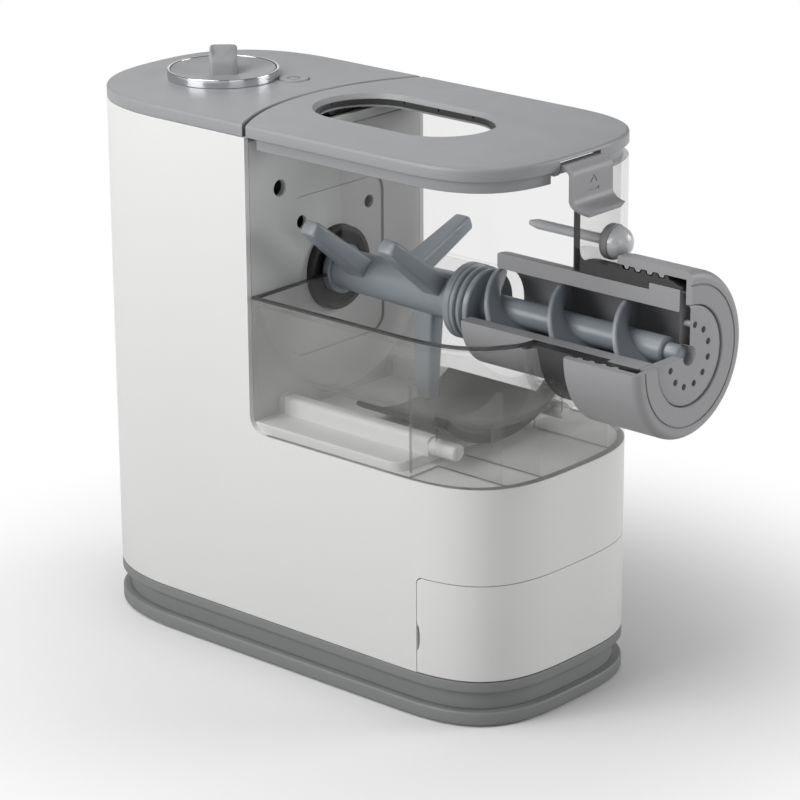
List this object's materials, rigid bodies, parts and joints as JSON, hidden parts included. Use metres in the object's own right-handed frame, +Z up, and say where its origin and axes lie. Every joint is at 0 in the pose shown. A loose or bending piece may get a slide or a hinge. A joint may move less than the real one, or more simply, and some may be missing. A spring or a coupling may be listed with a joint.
{
  "type": "electric pasta maker",
  "caption": "Countertop machine that kneads dough in a clear chamber and presses it through a disc; cutaway of the chamber, extruder and nut shows the paddle and screw.",
  "frame": {"origin": "centre of the overall outline in plan, on the worktop under the feet", "axes": "+X from the drive tower towards the extruder, +Y to the far side in the picture, +Z up"},
  "size_m": [0.3444, 0.129, 0.2895],
  "materials": {
    "shell_white": "satin moulded plastic",
    "cover_grey": "satin light grey moulded plastic",
    "base_grey": "fine matt grey moulded plastic",
    "nut_grey": "satin mid grey moulded plastic",
    "pale_knob": "smooth pale grey plastic",
    "smoky_clear": "clear smoky plastic, polished",
    "dark_rubber": "soft dark rubber",
    "paddle_blue": "satin blue-grey plastic",
    "steel": "bright machined steel",
    "bright_trim": "bright plated trim",
    "gear_nylon": "off-white nylon",
    "motor_steel": "plated steel",
    "magnet_dark": "dark sintered ferrite",
    "black_plastic": "black filled plastic",
    "board_green": "green board"
  },
  "bodies": {
    "machine": {"rubber_foot_1": "dark_rubber", "rubber_foot_2": "dark_rubber", "rubber_foot_3": "dark_rubber", "rubber_foot_4": "dark_rubber", "base_screw_1": "steel", "base_screw_2": "steel", "base_screw_3": "steel", "base_screw_4": "steel", "gearbox_screw_1": "steel", "gearbox_screw_2": "steel", "gearbox_screw_3": "steel", "gearbox_screw_4": "steel", "foot_ring": "base_grey", "base_tray": "base_grey", "housing_shell": "shell_white", "cord_gland": "dark_rubber", "back_plate": "cover_grey", "drive_seal": "dark_rubber", "top_cover": "cover_grey", "control_board": "board_green", "timer_switch": "black_plastic", "start_switch": "black_plastic", "button_spring": "steel", "motor_can": "motor_steel", "motor_end_cap": "black_plastic", "motor_magnet_1": "magnet_dark", "motor_magnet_2": "magnet_dark", "gearbox_case": "black_plastic", "gearbox_cover": "black_plastic", "idler_pin": "steel", "rear_bearing": "steel", "front_bearing": "steel", "mixing_chamber": "smoky_clear", "bowl_saddle": "dark_rubber", "extrusion_tube": "nut_grey"},
    "lid": {"lid": "cover_grey", "lid_hinge_arm_left": "cover_grey", "lid_hinge_arm_right": "cover_grey", "slot_gasket": "dark_rubber", "latch_pin": "steel"},
    "latch": {"lid_latch": "nut_grey"},
    "selector": {"knob_dial": "cover_grey", "knob_trim_ring": "bright_trim", "selector_shaft": "steel"},
    "start": {"start_button": "cover_grey"},
    "mixer": {"mixing_paddle": "paddle_blue", "extrusion_screw": "paddle_blue", "output_shaft": "steel", "output_gear": "gear_nylon"},
    "idler": {"idler_gear": "gear_nylon"},
    "rotor": {"motor_armature": "motor_steel", "motor_shaft": "steel", "cooling_fan": "black_plastic"},
    "disc_carrier": {"shaping_disc": "nut_grey"},
    "nut": {"disc_nut": "nut_grey"},
    "drawer": {"storage_drawer": "shell_white", "spare_disc_1": "nut_grey", "spare_disc_2": "nut_grey"},
    "fixing": {"fixing_knob": "pale_knob", "fixing_knob_ring": "nut_grey"}
  },
  "joints": [
    {"name": "lid_hinge", "type": "hinge", "parent": "machine", "child": "lid", "pos_m": [-0.06385, 0, 0.2749], "axis": [0, -1, 0], "range_deg": [0, 80]},
    {"name": "latch_hinge", "type": "hinge", "parent": "lid", "child": "latch", "pos_m": [0.10485, 0, 0.2692], "axis": [0, -1, 0], "range_deg": [0, 25], "stiffness_Nm_per_rad": 0.05, "springref_deg": -2.86},
    {"name": "selector_turn", "type": "hinge", "parent": "machine", "child": "selector", "pos_m": [-0.12215, 0, 0.275], "axis": [0, 0, 1], "range_deg": [-90, 90]},
    {"name": "start_press", "type": "slide", "parent": "machine", "child": "start", "axis": [0, 0, -1], "range_m": [0, 0.0015], "stiffness_N_per_m": 400, "springref_m": -0.0005, "deforming": ["button_spring"]},
    {"name": "mixer_turn", "type": "hinge", "parent": "machine", "child": "mixer", "pos_m": [-0.04575, 0, 0.1901], "axis": [1, 0, 0], "continuous": true},
    {"name": "idler_turn", "type": "hinge", "parent": "machine", "child": "idler", "pos_m": [-0.04575, 0, 0.15635], "axis": [1, 0, 0], "continuous": true},
    {"name": "motor_turn", "type": "hinge", "parent": "machine", "child": "rotor", "pos_m": [-0.04575, 0, 0.1226], "axis": [1, 0, 0], "continuous": true},
    {"name": "disc_slide", "type": "slide", "parent": "machine", "child": "disc_carrier", "axis": [1, 0, 0], "range_m": [0, 0.0274]},
    {"name": "nut_turn", "type": "hinge", "parent": "disc_carrier", "child": "nut", "pos_m": [0.15, 0, 0.1901], "axis": [1, 0, 0], "range_deg": [0, 1440]},
    {"name": "drawer_slide", "type": "slide", "parent": "machine", "child": "drawer", "axis": [1, 0, 0], "range_m": [0, 0.11]},
    {"name": "fixing_knob_turn", "type": "hinge", "parent": "machine", "child": "fixing", "pos_m": [0.11, 0.0185, 0.229], "axis": [1, 0, 0], "range_deg": [0, 90]}
  ],
  "couplings": [
    {"joint": "idler_turn", "follows": "mixer_turn", "ratio": -2.75},
    {"joint": "motor_turn", "follows": "mixer_turn", "ratio": 9.625},
    {"joint": "disc_slide", "follows": "nut_turn", "m_per_rad": 0.0010902}
  ]
}
